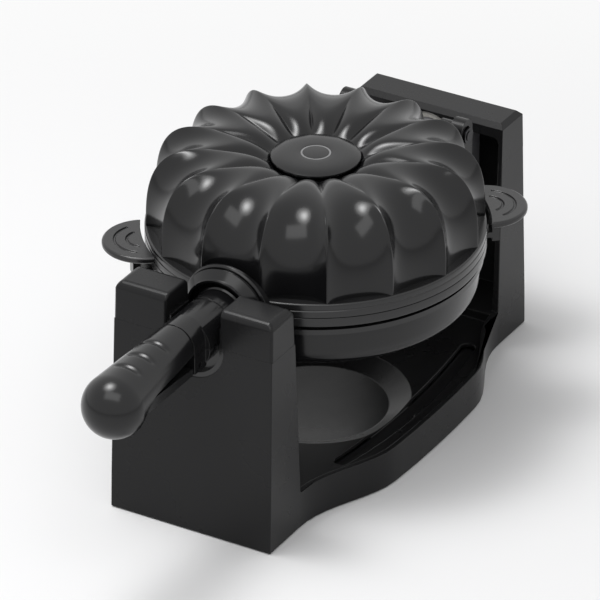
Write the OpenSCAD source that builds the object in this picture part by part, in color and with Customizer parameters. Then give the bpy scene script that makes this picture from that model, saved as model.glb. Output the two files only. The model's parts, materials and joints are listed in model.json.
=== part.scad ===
// Rotating waffle maker: a round head with a fluted lid flips between two uprights over a drip tray.
// Millimetres. The front is -Y and the right is +X. The origin is on the floor, under the middle.

/* [Base] */
// Room between the head and the foot of the front upright
front_room = 8.6; // [8:0.2:12]
// Room between the head and the foot of the rear tower, for the hinge
back_room = 29.4; // [28:0.2:34]
// Width of an upright at the floor
foot_w = 107; // [100:1:112]
// Width of an upright at its top
top_w = 104; // [98:1:107]
// Width of the rear tower as a share of the front upright's
tower_share = 0.975; // [0.95:0.005:1]
// Height of the rear tower over the front upright
tower_up = 1; // [0:0.5:3]
// Thickness of an upright at the floor
foot_t = 36; // [34:1:40]
// Thickness of an upright at its top
top_t = 25; // [24:0.5:28]
// Width of the drip tray at its middle
tray_w = 155; // [140:1:166]
// Height of the tray's rim
tray_h = 24; // [20:0.5:27]
// Wall of the base mouldings
base_wall = 2.6; // [2:0.1:3]
// Height of the flip axis over the floor
axis_h = 126.5; // [125:0.5:130]
// Height of the uprights over the flip axis
horn_up = 21.5; // [18:0.5:26]

/* [Head] */
// Diameter of the head over its two bands
head_d = 200; // [196:1:204]
// Height of the lid's band over the parting plane
lid_band_h = 9; // [8:0.5:10]
// Height of the lower band under the parting plane
low_band_h = 6; // [5:0.5:7]
// Depth of the lower shell under the parting plane
shell_depth = 37.4; // [36:0.5:42]
// Height of the dome's ridges over the parting plane
dome_h = 58.3; // [55:0.5:62]
// Lobes around the dome
lobes = 16; // [12:1:20]
// How far a lobe's middle is drawn in at its foot
scallop = 7; // [4:0.5:8]
// Wall of the dome
dome_wall = 2.4; // [2:0.1:3]
// Wall of the lower shell
shell_wall = 1.8; // [1.4:0.1:2.4]
// Radius of the round cap on the dome
cap_r = 26; // [23:0.5:28]

/* [Plates] */
// Width of the bands' faces round a plate
band_w = 11.2; // [10.6:0.2:14]
// Depth of a plate's floor from the parting plane
plate_depth = 12; // [11:0.5:13]
// Thickness of a plate
plate_t = 3; // [2.5:0.1:3.2]
// Distance between two studs of the grid
stud_pitch = 15.5; // [13:0.5:18]
// Width of a stud
stud_w = 8; // [6:0.5:9]
// Height of a stud over the floor
stud_h = 8; // [6:0.5:9]

/* [Handle] */
// Radius of the neck that turns in the front saddle
neck_r = 16; // [15:0.2:16.2]
// Radius of the collar round the neck
collar_r = 27.5; // [25:0.5:29]
// How far the joint of grip and neck stands out past the base
neck_out = 14.4; // [13:0.2:16]
// Length of the grip from its joint to the middle of its ball end
grip_len = 64.4; // [62:0.5:72]
// Radius of the grip at its joint
grip_r = 13.1; // [12:0.1:13.6]
// Radius of the grip's ball end
ball_r = 19.1; // [17:0.1:20]

/* [Hinge] */
// Radius of the lid's hinge pin
pin_r = 3; // [2.5:0.1:3.5]
// Height of the hinge pin over the parting plane
pin_up = 27.5; // [26:0.5:29]
// Distance of the hinge pin behind the head
pin_out = 6; // [5:0.5:8]
// Rise of the floating hinge as the batter swells
float_up = 3; // [2:0.5:5]
// Radius of the hollow rear journal
hub_r = 14; // [12:0.5:14.5]

/* [Release ring] */
// Angle of the right thumb tab from the right side
tab_angle = 42; // [38:1:46]
// Radius of a thumb tab
tab_r = 24; // [20:0.5:25]

/* [Hidden] */
$fn = 64;

// Shared clearances and the overrun of every cut
over = 1;
run_gap = 0.08;
part_gap = 0.3;
slide_gap = 0.3;
seat_gap = 0.03;

// Places shared by the pieces, measured from the middle of the head
head_r = head_d / 2;
plate_r = head_r - band_w;
pin_back = head_r + pin_out;
base_len = head_d + front_room + back_room + 2 * foot_t;
base_off = (back_room - front_room) / 2;
front_y = base_off - base_len / 2;
rear_y = base_off + base_len / 2;
seam_y = front_y - neck_out;
ball_y = seam_y - grip_len;
mid_y = -(ball_y - ball_r + rear_y) / 2;

// Lean of an upright's outer and inner faces, and its taper
lean = 5.5;
inner_foot = base_len / 2 - foot_t;
inner_top = base_len / 2 - lean - top_t;
edge_r = 3;
base_h = axis_h + horn_up;
seam_drop = 2.5;
seam_h = axis_h - seam_drop;
foot_h = 0.6;

// Plan of the tray between the uprights
tray_bow = 1.6;
flank_in = 50;
flank_out = inner_foot + over;
tray_steps = 15;
rim_w = 3.6;
tray_drop = 6;
floor_t = 2.6;
dish_r = 57;
dish_slope = 13;
dish_depth = 6.5;
dish_sag = 2;
groove_w = 12;
groove_end_w = 9.4;
groove_depth = 3.4;
groove_len = 161;
groove_y = 7;
groove_x_share = 0.748;
groove_bow = 6.3;

module in_head() {
  translate([0, mid_y, axis_h]) children();
}

module in_base() {
  translate([0, mid_y + base_off, 0]) children();
}

// Turns a profile about the flip axis, its height running to the front
module along_front() {
  rotate([90, 0, 0]) rotate_extrude() children();
}

// Turns a profile about the flip axis, its height running to the back
module along_back() {
  rotate([-90, 0, 0]) rotate_extrude() children();
}

// A bar along X between two faces, at a place across it
module cross_bar(x0, x1, y, z, r) {
  translate([x0, y, z]) rotate([0, 90, 0]) cylinder(r = r, h = x1 - x0);
}

// A box given by its lowest and highest corners
module block(low, high) {
  translate(low) cube(high - low);
}

function ease(t) = t <= 0 ? 0 : t >= 1 ? 1 : t * t * (3 - 2 * t);

function bow_at(y) = tray_bow * pow(y / flank_in, 2);

// Half the width of the base's plan at a distance from its middle
function plan_half(y) =
  let (foot = (y > 0 ? tower_share : 1) * foot_w / 2)
  foot + (tray_w / 2 - foot - bow_at(y)) * ease((flank_out - abs(y)) / (flank_out - flank_in));

function plan_places(end) = [for (i = [-tray_steps : tray_steps]) i * end / tray_steps];

// Plan of the base drawn in by an inset, between two ends
module plan(end, inset) {
  ys = plan_places(end);
  right = [for (y = ys) [plan_half(y) - inset, y]];
  left = [for (i = [len(ys) - 1 : -1 : 0]) [-plan_half(ys[i]) + inset, ys[i]]];
  polygon(concat(right, left));
}

// Side view of an upright, drawn in by an inset
module upright_side(inset, top) {
  polygon([
    [base_len / 2 - inset, foot_h],
    [base_len / 2 - lean - inset, top - edge_r - inset],
    [base_len / 2 - lean - inset - edge_r, top - inset],
    [inner_top + inset + edge_r, top - inset],
    [inner_top + inset, top - edge_r - inset],
    [inner_foot + inset, foot_h]
  ]);
}

// Front view of an upright, drawn in by an inset
module upright_front(inset, width_share, top) {
  half = width_share * top_w / 2 - inset;
  foot = width_share * foot_w / 2 - inset;
  polygon([
    [-foot, foot_h], [-foot, tray_h], [-half, top - edge_r - inset], [-half + edge_r, top - inset],
    [half - edge_r, top - inset], [half, top - edge_r - inset], [foot, tray_h], [foot, foot_h]
  ]);
}

// Rear upright; a mirror of a wider one makes the front one
module upright(inset, width_share = tower_share, top = base_h + tower_up) {
  intersection() {
    translate([-foot_w, 0, 0]) rotate([90, 0, 90]) linear_extrude(2 * foot_w) upright_side(inset, top);
    translate([0, base_len, 0]) rotate([90, 0, 0]) linear_extrude(base_len)
      upright_front(inset, width_share, top);
  }
}

// Slot that takes the neck, open at the top, and wider under the seam for the saddle
liner_t = 1.7;
slot_r = neck_r + liner_t;
saddle_t = 4.5;
saddle_r = neck_r + saddle_t;
slot_drop = 4.5;

module slot(r) {
  translate([0, -base_len / 2 - over, axis_h - slot_drop]) rotate([-90, 0, 0])
    linear_extrude(foot_t + 2 * over) {
      circle(r = r);
      translate([-r, -base_h]) square([2 * r, base_h]);
    }
}

module front_upright() {
  difference() {
    mirror([0, 1, 0]) upright(0, 1, base_h);
    difference() {
      translate([0, 0, -over]) mirror([0, 1, 0]) upright(base_wall, 1, base_h);
      slot(slot_r + base_wall);
      under_seam() slot(saddle_r + base_wall);
    }
    slot(slot_r);
    under_seam() slot(saddle_r);
  }
}

// Opening in the tower's inner face
pocket_top = 8;
pocket_r = 4;
lead_hole_r = 6;

module tower() {
  difference() {
    upright(0);
    intersection() {
      upright(base_wall);
      block([-foot_w, 0, tray_h], [foot_w, base_len, 2 * base_h]);
    }
    translate([0, inner_foot + foot_t / 3, 0]) rotate([90, 0, 0]) linear_extrude(foot_t)
      pocket_outline();
    translate([0, inner_foot + foot_t / 2, 0]) cylinder(r = lead_hole_r, h = base_h / 2);
    gland_hole();
  }
}

module pocket_outline() {
  half = tower_share * top_w / 2 - base_wall;
  difference() {
    translate([-half, tray_h]) square([2 * half, base_h - pocket_top - tray_h]);
    for (side = [-1, 1]) translate([side * half, base_h - pocket_top]) corner(pocket_r, side);
  }
  translate([0, axis_h]) circle(r = hub_r + bush_t + bush_flange + 2 * slide_gap);
}

// The bit that rounds a square corner, at its left or right
module corner(r, side) {
  difference() {
    translate([side > 0 ? -r : 0, -r]) square([r, r]);
    translate([-side * r, -r]) circle(r = r);
  }
}

// Crescent of the drip groove at the right, widest in its middle, with round ends
module groove() {
  half = (groove_len - groove_end_w) / 2;
  ys = plan_places(half);
  mid = tray_w / 2 * groove_x_share;
  function bend(y) = mid - groove_bow * pow(y / half, 2);
  function width(y) = groove_w + (groove_end_w - groove_w) * pow(y / half, 2);
  outer = [for (y = ys) [bend(y) + width(y) / 2, y]];
  inner = [for (i = [len(ys) - 1 : -1 : 0]) [bend(ys[i]) - width(ys[i]) / 2, ys[i]]];
  translate([0, groove_y]) {
    polygon(concat(outer, inner));
    for (end = [-half, half]) translate([bend(end), end]) circle(r = groove_end_w / 2);
  }
}

// The round dish under the head: a sloping ring and a slightly sagging floor, lowered by a wall
module dish(drop) {
  inner_r = dish_r - dish_slope;
  ball = (inner_r * inner_r + dish_sag * dish_sag) / (2 * dish_sag);
  translate([0, -base_off, floor_h - drop]) {
    rotate_extrude() polygon([
      [0, -dish_depth], [inner_r, -dish_depth], [dish_r, 0], [dish_r, tray_h], [0, tray_h]
    ]);
    intersection() {
      translate([0, 0, ball - dish_depth - dish_sag]) sphere(r = ball);
      translate([0, 0, -dish_depth - 2 * dish_sag]) cylinder(r = inner_r, h = 3 * dish_sag);
    }
  }
}

floor_h = tray_h - tray_drop;
pan_end = inner_foot - rim_w;

module tray() {
  difference() {
    translate([0, 0, foot_h]) linear_extrude(tray_h - foot_h) plan(inner_foot + base_wall, 0);
    translate([0, 0, floor_h]) linear_extrude(tray_h) plan(pan_end, rim_w);
    dish(0);
    for (side = [0, 1]) mirror([side, 0, 0]) translate([0, 0, floor_h - groove_depth])
      linear_extrude(tray_h) groove();
    tray_hollow();
  }
}

// The space under the tray's floor, open at the bottom
module tray_hollow() {
  difference() {
    translate([0, 0, -over]) linear_extrude(floor_h - floor_t + over) plan(inner_foot, base_wall);
    dish(floor_t);
    for (side = [0, 1]) mirror([side, 0, 0]) translate([0, 0, floor_h - groove_depth - floor_t])
      linear_extrude(tray_h) groove();
  }
}

module base_body() {
  difference() {
    union() {
      difference() {
        union() {
          tray();
          front_upright();
          tower();
        }
        mirror([0, 1, 0]) well(1, base_h, tray_h + over);
        well(tower_share, base_h + tower_up, tray_h - floor_t);
        gland_hole();
      }
      bosses();
    }
    translate([0, 0, -over]) linear_extrude(foot_h + cover_t + over)
      plan(base_len / 2 - base_wall, base_wall);
    at_cover_screws() cylinder(r = screw_r + screw_play, h = boss_h);
  }
}

// The space in an upright's foot, up to a height
module well(width_share, top, roof) {
  intersection() {
    translate([0, 0, -over]) upright(base_wall, width_share, top);
    block([-foot_w, 0, -over], [foot_w, base_len, roof]);
  }
}

// Posts for the cover's screws, those of the uprights with a web to the outer wall
module bosses() {
  for (p = cover_screws) {
    side = sign(p[1]);
    web_y = base_len / 2 - base_wall;
    translate([p[0], p[1], foot_h]) cylinder(r = post_r, h = boss_h - foot_h + (side == 0 ? 0 : base_wall));
    if (side != 0)
      block([p[0] - over, min(p[1], side * web_y), foot_h], [p[0] + over, max(p[1], side * web_y), boss_h]);
  }
}

module under_seam() {
  intersection() {
    children();
    block([-tray_w, -base_len, 0], [tray_w, base_len, seam_h]);
  }
}

module base_shell() {
  color("#1b1b1d") in_base() under_seam() base_body();
}

module front_cap(side) {
  color("#1b1b1d") in_base() intersection() {
    front_upright();
    block([side > 0 ? 0 : -foot_w, -base_len, seam_h], [side > 0 ? foot_w : 0, 0, 2 * base_h]);
  }
}

module front_cap_left() {
  front_cap(-1);
}

module front_cap_right() {
  front_cap(1);
}

module tower_cap() {
  color("#1b1b1d") in_base() intersection() {
    tower();
    block([-foot_w, 0, seam_h], [foot_w, base_len, 2 * base_h]);
  }
}

// Bottom cover, its feet and its screws
cover_t = 2;
cover_gap = 0.2;
rubber_r = 7;
rubber_h = 3;
screw_r = 1.5;
screw_head_r = 3;
screw_head_t = 1.4;
screw_play = 0.03;
post_r = 3.6;
boss_h = floor_h - floor_t / 2;
foot_inset = 3;
foot_x = foot_w / 2 - base_wall - rubber_r - foot_inset;
foot_y = base_len / 2 - base_wall - rubber_r - foot_inset;
screw_x = 26;
screw_y = base_len / 2 - foot_t / 2;
mid_screw_inset = 9;
mid_screw_x = tray_w / 2 - rim_w - mid_screw_inset;

cover_screws = [
  [-screw_x, -screw_y], [screw_x, -screw_y], [-screw_x, screw_y], [screw_x, screw_y],
  [-mid_screw_x, 0], [mid_screw_x, 0]
];

module at_feet() {
  for (x = [-foot_x, foot_x], y = [-foot_y, foot_y]) translate([x, y, 0]) children();
}

module at_cover_screws() {
  for (p = cover_screws) translate([p[0], p[1], 0]) children();
}

module bottom_cover() {
  color("#151517") in_base() difference() {
    translate([0, 0, foot_h]) linear_extrude(cover_t)
      plan(base_len / 2 - base_wall - cover_gap, base_wall + cover_gap);
    at_feet() cylinder(r = rubber_r - over, h = rubber_h + over);
    at_cover_screws() {
      cylinder(r = screw_r + part_gap / 2, h = rubber_h + over);
      cylinder(r = screw_head_r + part_gap / 2, h = foot_h + screw_head_t);
    }
  }
}

module rubber_feet() {
  color("#101010") in_base() at_feet() {
    cylinder(r = rubber_r, h = foot_h);
    cylinder(r = rubber_r - over, h = foot_h + cover_t);
  }
}

// Each screw runs up into a post of the shell
module base_screws() {
  color("#8d9093") in_base() at_cover_screws() {
    translate([0, 0, foot_h]) cylinder(r = screw_head_r, h = screw_head_t);
    translate([0, 0, foot_h]) cylinder(r = screw_r, h = boss_h - foot_h - over);
  }
}

// Saddle that lines the slot and carries the neck
saddle_y0 = -base_len / 2 + lean + base_wall;
saddle_y1 = -inner_top - base_wall;

module front_saddle() {
  color("#26262a") in_base() difference() {
    union() {
      intersection() {
        slot(slot_r - seat_gap);
        block([-slot_r, saddle_y0, 0], [slot_r, saddle_y1, axis_h + neck_r / 2]);
      }
      intersection() {
        mirror([0, 1, 0]) upright(part_gap, 1, base_h);
        under_seam() slot(saddle_r - seat_gap);
      }
    }
    difference() {
      slot(slot_r);
      block([-slot_r, saddle_y0, 0], [slot_r, saddle_y1, base_h]);
    }
    translate([0, 0, axis_h]) rotate([90, 0, 0]) cylinder(r = neck_r + run_gap, h = base_len);
    block([-neck_r - run_gap, -base_len, axis_h], [neck_r + run_gap, 0, base_h]);
  }
}

// Rear bearing in the tower
bush_t = 2;
bush_flange = 2;
house_in = 3;
house_y0 = inner_top + base_off + house_in;
house_len = 14;
house_w = 52;
house_drop = 60;
house_up = 14;
peg_r = 5;

module bearing_housing() {
  color("#2a2a2d") in_head() difference() {
    union() {
      block([-house_w / 2, house_y0, -house_drop], [house_w / 2, house_y0 + house_len, house_up]);
      for (x = [-1, 1], z = [peg_r - house_drop, house_up - peg_r])
        translate([x * (house_w / 2 - peg_r), house_y0 + house_len, z])
        rotate([-90, 0, 0]) cylinder(r = peg_r, h = rear_wall_y(z + peg_r) - house_y0 - house_len);
    }
    translate([0, house_y0 - over, 0]) rotate([-90, 0, 0])
      cylinder(r = hub_r + bush_t, h = house_len + 2 * over);
  }
}

// Inner face of the tower's rear wall at a height over the flip axis
function rear_wall_y(z) =
  base_off + base_len / 2 - base_wall - lean * (axis_h + z - foot_h) / (base_h - foot_h);

module rear_bush() {
  color("#c9c4b4") in_head() along_back() polygon([
    [hub_r + run_gap, house_y0 - bush_flange / 2], [hub_r + bush_t + bush_flange, house_y0 - bush_flange / 2],
    [hub_r + bush_t + bush_flange, house_y0], [hub_r + bush_t, house_y0],
    [hub_r + bush_t, house_y0 + house_len], [hub_r + run_gap, house_y0 + house_len]
  ]);
}

// Half ring under the journal that a lug on the hub meets at both ends of the flip
stop_t = 5;
stop_y0 = inner_top + base_off - stop_t - over / 2;
stop_gap_angle = 3;
lug_angle = 16;
stop_rim = 3;
stop_r = hub_r + bush_t + bush_flange + stop_rim;

module flip_stop() {
  color("#2a2a2d") in_head() {
    rotate([-90, 0, 0]) translate([0, 0, stop_y0]) rotate([0, 0, lug_angle / 2 + stop_gap_angle])
      rotate_extrude(angle = 180 - lug_angle - 2 * stop_gap_angle)
      translate([hub_r + slide_gap, 0]) square([stop_r - hub_r - slide_gap, stop_t]);
    block([-stop_t, stop_y0, -stop_r - stop_t], [stop_t, house_y0, -stop_r + over]);
  }
}

// Gland in the tower's rear wall where the lead would enter
gland_r = 6;
gland_h = 12;
gland_bore_r = 3.6;
gland_flange = 2;
gland_y = base_len / 2 - lean * (gland_h - foot_h) / (base_h - foot_h);

module gland_hole() {
  translate([0, base_len / 2 - foot_t / 2, gland_h]) rotate([-90, 0, 0])
    cylinder(r = gland_r, h = foot_t);
}

module cord_gland() {
  color("#161616") in_base() difference() {
    translate([0, gland_y - base_wall - gland_flange, gland_h]) rotate([-90, 0, 0]) {
      cylinder(r = gland_r + gland_flange, h = gland_flange - slide_gap);
      cylinder(r = gland_r, h = base_wall + gland_flange);
    }
    translate([0, gland_y - foot_t, gland_h]) rotate([-90, 0, 0]) cylinder(r = gland_bore_r, h = 2 * foot_t);
  }
}

// Terminal block on the cover, inside the tower
terminal_w = 30;
terminal_t = 12;
terminal_h = 14;

module terminal_block() {
  color("#d8d4c8") in_base()
    block([-terminal_w / 2, inner_foot + base_wall + over, foot_h + cover_t],
      [terminal_w / 2, inner_foot + base_wall + over + terminal_t, foot_h + cover_t + terminal_h]);
}

// Lower half of the head. Radii and heights of its turned pieces
shell_in = 2.7;
shell_r = head_r - shell_in;
shell_foot_in = 18;
shell_foot_r = head_r - shell_foot_in;
shell_round = 14;
lip_h = 12;
lip_t = 2;
skirt_in = 6.4;
skirt_r = head_r - skirt_in;
skirt_t = 2.6;
seat_r = plate_r + part_gap;
ledge_w = 3;
ledge_r = plate_r - ledge_w;
plate_rim_t = 3;

module lower_shell() {
  color("#1a1a1c") in_head() difference() {
    union() {
      rotate_extrude() {
        difference() {
          shell_half(0);
          shell_half(shell_wall);
        }
        translate([skirt_r - skirt_t - lip_t, -lip_h - lip_t])
          square([shell_r - shell_wall / 2 - skirt_r + skirt_t + lip_t, lip_t]);
      }
      at_shell_screws() translate([0, 0, shell_wall / 2 - shell_depth])
        cylinder(r = post_r, h = pan_bottom + shell_depth - shell_wall / 2);
    }
    shell_screw_holes();
  }
}

// Round corner between the lower shell's wall and bottom, from the wall down
bilge_steps = 8;

function bilge(inset) = [for (i = [0 : bilge_steps]) [
  shell_foot_r + (shell_round - inset) * cos(i * 90 / bilge_steps),
  -shell_depth + shell_round - (shell_round - inset) * sin(i * 90 / bilge_steps)
]];

// Half section of the lower shell: a leaning wall, a round corner and a flat bottom
module shell_half(inset) {
  top = -lip_h + (inset > 0 ? over : 0);
  polygon(concat([[0, top], [shell_r - inset, top]], bilge(inset), [[0, -shell_depth + inset]]));
}

module lower_band() {
  color("#1d1d20") in_head() rotate_extrude() polygon([
    [seat_r, -part_gap / 2], [head_r - over / 2, -part_gap / 2], [head_r, -part_gap / 2 - over / 2],
    [head_r, -low_band_h + over], [head_r - over, -low_band_h], [skirt_r, -low_band_h],
    [skirt_r, -lip_h], [skirt_r - skirt_t, -lip_h], [skirt_r - skirt_t, -low_band_h],
    [ledge_r, -low_band_h], [ledge_r, -plate_rim_t - part_gap], [seat_r, -plate_rim_t - part_gap]
  ]);
}

// One waffle plate, opening upwards from its floor under the parting plane
bowl_slope = 4;

module waffle_plate() {
  bowl_r = ledge_r - plate_t - part_gap;
  rotate_extrude() polygon([
    [0, -plate_depth - plate_t], [bowl_r - bowl_slope, -plate_depth - plate_t],
    [bowl_r + plate_t - over, -plate_rim_t - part_gap],
    [plate_r, -plate_rim_t - part_gap], [plate_r, -part_gap], [bowl_r, -part_gap],
    [bowl_r - bowl_slope, -plate_depth], [0, -plate_depth]
  ]);
  reach = bowl_r - bowl_slope - stud_w / 4;
  n = floor(reach / stud_pitch);
  translate([0, 0, -plate_depth - over]) linear_extrude(stud_h + over)
    for (i = [-n : n - 1], j = [-n : n - 1])
      if (norm([abs(i + 0.5), abs(j + 0.5)]) * stud_pitch + stud_w / 2 < reach)
        translate([(i + 0.5) * stud_pitch - stud_w / 2, (j + 0.5) * stud_pitch - stud_w / 2])
          square([stud_w, stud_w]);
}

module lower_plate() {
  color("#3a3a3c") in_head() waffle_plate();
}

// Tubular heating element under a plate's floor
tube_r = 3.5;
coil_r = 55;
coil_gap_angle = 24;
lead_share = 0.6;

module heating_element() {
  z = -plate_depth - plate_t - tube_r - part_gap / 3;
  rotate([0, 0, 90 + coil_gap_angle / 2]) rotate_extrude(angle = 360 - coil_gap_angle)
    translate([coil_r, z]) circle(r = tube_r);
  for (side = [-1, 1]) rotate([0, 0, 90 + side * coil_gap_angle / 2])
    translate([coil_r, 0, z]) rotate([side * 90, 0, 0]) translate([0, 0, -over / 2])
    cylinder(r = lead_share * tube_r, h = tube_r);
}

module lower_element() {
  color("#6d6a66") in_head() heating_element();
}

// Sheet dish behind an element
sheet_t = 0.8;
pan_room = 3;
pan_bottom = -plate_depth - plate_t - 2 * tube_r - pan_room - sheet_t;

module reflector(rim_r, rim_z) {
  floor_z = pan_bottom + sheet_t;
  wall_r = ledge_r - plate_t - over;
  rotate_extrude() polygon([
    [0, floor_z], [wall_r - bowl_slope, floor_z], [wall_r, rim_z], [rim_r, rim_z], [rim_r, rim_z - sheet_t],
    [wall_r + sheet_t, rim_z - sheet_t], [wall_r - bowl_slope + sheet_t, floor_z - sheet_t],
    [0, floor_z - sheet_t]
  ]);
}

module lower_reflector() {
  color("#b9bbbd") in_head() difference() {
    reflector(skirt_r - part_gap, -lip_h - lip_t);
    shell_screw_holes();
  }
}

// Collar round the neck, stepped like the moulding in the front view; heights run to the front
collar_seat = 6;
collar_back = head_r - collar_seat;
collar_rim_t = 4.5;
collar_groove = 2.6;
collar_out = 11;
collar_front = head_r + collar_out;
collar_ring_w = 4.5;
collar_in_r = neck_r + collar_ring_w;
collar_lip = 1.4;
recess_out = 6;
recess_y = head_r + recess_out;
neck_ring_r = neck_r + over;
neck_ring_t = 2;

module collar_section() {
  rim_y = head_r + collar_rim_t / 3;
  polygon([
    [neck_r, collar_back], [collar_r - over, collar_back], [collar_r, collar_back + over],
    [collar_r, rim_y], [collar_r - over, rim_y + over], [collar_r - collar_groove, rim_y + over],
    [collar_r - collar_groove, rim_y + collar_groove], [collar_r - over, rim_y + collar_groove + over],
    [collar_in_r + collar_lip, collar_front - collar_lip], [collar_in_r + collar_lip, collar_front],
    [collar_in_r, collar_front], [collar_in_r, recess_y], [neck_r, recess_y]
  ]);
}

module collar_body() {
  difference() {
    along_front() collar_section();
    head_envelope();
  }
}

// The turned space of the shells and bands, which the pieces on the head's rim are cut to
module head_envelope() {
  rotate_extrude() polygon(concat(
    [[0, dome_h], [head_r + part_gap, dome_h], [head_r + part_gap, lid_band_h], [head_r, lid_band_h],
      [head_r, -low_band_h], [head_r + slide_gap, -low_band_h], [head_r + slide_gap, -lip_h],
      [shell_r, -lip_h]],
    bilge(0), [[0, -shell_depth]]
  ));
}

module low_half() {
  intersection() {
    children();
    block([-base_len, -base_len, -base_len], [base_len, base_len, -part_gap / 2]);
  }
}

module top_half() {
  intersection() {
    children();
    block([-base_len, -base_len, part_gap / 2], [base_len, base_len, base_len]);
  }
}

module collar_lower() {
  color("#1d1d20") in_head() low_half() collar_body();
}

module collar_upper() {
  color("#1d1d20") in_head() top_half() collar_body();
}

// Neck: a journal in the collar and saddle, then an arch that meets the grip
journal_out = 2.4;
journal_end = -front_y + journal_out;
cheek_x = 5.7;
cheek_drop = 11.5;
arch_up = 4.2;
neck_groove_in = 22;
neck_groove_y = -front_y - neck_groove_in;
groove_half = 1;
groove_cut = 0.5;
pivot_drop = 7.5;
pivot_r = 1.5;
pivot_in = 6;
pivot_y = seam_y + pivot_in;

module journal() {
  along_front() polygon([
    [0, recess_y + slide_gap], [neck_r - over, recess_y + slide_gap],
    [neck_ring_r, recess_y + slide_gap + over],
    [neck_ring_r, recess_y + neck_ring_t + over], [neck_r, recess_y + neck_ring_t + 2 * over],
    [neck_r, neck_groove_y - groove_half], [neck_r - groove_cut, neck_groove_y - groove_half],
    [neck_r - groove_cut, neck_groove_y + groove_half], [neck_r, neck_groove_y + groove_half],
    [neck_r, journal_end], [0, journal_end]
  ]);
  along_front() polygon([
    [0, head_r + slide_gap], [neck_r - over / 10, head_r + slide_gap],
    [neck_r - over / 10, recess_y + over], [0, recess_y + over]
  ]);
}

module arch_outline() {
  translate([0, arch_up]) circle(r = grip_r);
  translate([-grip_r, 0]) square([2 * grip_r, arch_up]);
}

module neck_upper() {
  color("#1a1a1c") in_head() difference() {
    union() {
      top_half() journal();
      top_half() translate([0, -journal_end + over, 0]) rotate([90, 0, 0])
        linear_extrude(-seam_y - journal_end + over) arch_outline();
    }
    grip_screw_hole();
  }
}

module neck_lower() {
  color("#1a1a1c") in_head() difference() {
    low_half() {
      journal();
      block([-grip_r, seam_y, -cheek_drop], [grip_r, -journal_end + over, 0]);
    }
    block([-cheek_x, seam_y - over, -cheek_drop - over], [cheek_x, -journal_end, over]);
    cross_bar(-2 * grip_r, 2 * grip_r, pivot_y, -pivot_drop, pivot_r);
  }
}

module lever_pin() {
  color("#8d9093") in_head() cross_bar(-grip_r, grip_r, pivot_y, -pivot_drop, pivot_r - run_gap / 8);
}

// Grip: a drooping taper with a ball end, scooped out underneath for the lever
scoop_up = 1.5;
scoop_r = 20;
scoop_len = 45;
scoop_y = seam_y - scoop_len;
ball_drop = 2.3;
grip_fall = arch_up + ball_drop;
grip_droop = atan(grip_fall / grip_len);
notch_r = 2.2;
notch_spread = 15;
notch_reach_share = 0.9;
notch_lift_share = 0.4;
notches = 3;
screw_hole_r = 1.6;

module grip_body() {
  slope_len = norm([grip_len, grip_fall]);
  translate([0, seam_y, arch_up]) rotate([90 + grip_droop, 0, 0]) {
    rotate_extrude() polygon([
      [0, -over / 4], [grip_r - over / 2, -over / 4], [grip_r, over / 4], [ball_r, slope_len], [0, slope_len]
    ]);
    translate([0, 0, slope_len]) sphere(r = ball_r);
  }
}

module upper_grip() {
  color("#1a1a1c") in_head() difference() {
    grip_body();
    block([-2 * ball_r, scoop_y, -base_len], [2 * ball_r, seam_y + 2 * over, scoop_up]);
    cross_bar(-2 * ball_r, 2 * ball_r, scoop_y, scoop_up - scoop_r, scoop_r);
    for (i = [1 : notches]) finger_groove(i);
    block([-2 * ball_r, seam_y, -base_len], [2 * ball_r, 0, base_len]);
    grip_screw_hole();
  }
}

// Short groove across the top of the grip
module finger_groove(i) {
  y = seam_y - i * notch_spread + notch_spread / 4;
  r = grip_r + (ball_r - grip_r) * (seam_y - y) / grip_len;
  drop = grip_fall * (seam_y - y) / grip_len;
  cross_bar(-r / 2, notch_reach_share * r, y, arch_up - drop + r + notch_lift_share * notch_r, notch_r);
}

module grip_screw_hole() {
  translate([0, seam_y + 2 * over + slide_gap, arch_up + grip_r / 2]) rotate([90, 0, 0])
    cylinder(r = screw_hole_r, h = grip_len / 3);
}

module grip_screw() {
  color("#8d9093") in_head() translate([0, seam_y + 2 * over, arch_up + grip_r / 2]) rotate([90, 0, 0])
    cylinder(r = screw_hole_r - part_gap / 3, h = grip_len / 3 - over);
}

// Squeeze lever under the grip, with a tongue between the neck's cheeks
lever_under = 0.5;
lever_bottom = -cheek_drop - lever_under;
lever_t = 4.5;
lever_tip_t = 7;
lever_half = grip_r - over;
lever_room = 9;
lever_end = scoop_y - scoop_r + lever_room;

module lever_side() {
  tip_r = lever_tip_t / 2;
  translate([lever_end + tip_r, lever_bottom + tip_r]) circle(r = tip_r);
  polygon([
    [lever_end + tip_r, lever_bottom], [seam_y - slide_gap, lever_bottom],
    [seam_y - slide_gap, lever_bottom + lever_t], [lever_end + tip_r, lever_bottom + lever_tip_t]
  ]);
}

module lever() {
  color("#151517") in_head() difference() {
    union() {
      translate([-lever_half, 0, 0]) rotate([90, 0, 90]) linear_extrude(2 * lever_half) lever_side();
      block([-cheek_x + slide_gap, seam_y - 2 * over, lever_bottom],
        [cheek_x - slide_gap, pivot_y + 2.5 * pivot_r, -pivot_drop + 2.5 * pivot_r]);
    }
    cross_bar(-grip_r, grip_r, pivot_y, -pivot_drop, pivot_r + run_gap);
  }
}

// Hinge at the back: slotted ears on the lower half, arms on the lid and a floating pin
ear_x = 34;
ear_t = 8;
ear_r = 7;
bracket_drop = 30;
bracket_back = pin_back;
bracket_half = ear_x + ear_t;
arm_gap = 1;
arm_t = 8.5;
arm_r = 6.5;

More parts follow.
